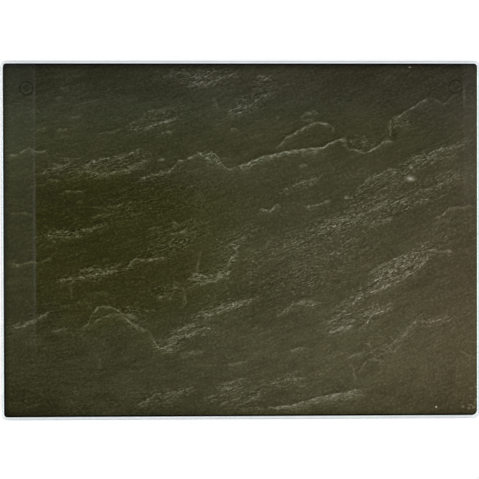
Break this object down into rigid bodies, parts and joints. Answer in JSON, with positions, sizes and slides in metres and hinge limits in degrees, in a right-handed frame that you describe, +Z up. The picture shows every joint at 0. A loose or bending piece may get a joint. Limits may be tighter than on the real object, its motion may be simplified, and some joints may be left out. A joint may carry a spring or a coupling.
{
  "type": "slate-look glass slab",
  "caption": "Flat rectangular glass slab with round corners and a ground edge, slate-look printed film bonded beneath, on stick-on domed feet; a hard smooth work surface.",
  "frame": {"origin": "on the table under the middle of the panel, at the bottom of the feet", "axes": "+X along the panel's long side to the right, +Y towards the rear side, +Z up out of the work face"},
  "size_m": [0.4, 0.3, 0.007],
  "materials": {
    "glass": "clear, polished face, pencil-ground edge",
    "adhesive": "clear adhesive film",
    "slate_print": "matt printed film, dark olive slate pattern",
    "foot_rubber": "clear moulded rubber",
    "foot_adhesive": "clear adhesive disc"
  },
  "bodies": {
    "root": {"glass_panel": "glass", "film_adhesive": "adhesive", "slate_film": "slate_print", "foot_front_left": "foot_rubber", "foot_front_right": "foot_rubber", "foot_rear_left": "foot_rubber", "foot_rear_right": "foot_rubber", "foot_pad_front_left": "foot_adhesive", "foot_pad_front_right": "foot_adhesive", "foot_pad_rear_left": "foot_adhesive", "foot_pad_rear_right": "foot_adhesive"}
  },
  "joints": []
}
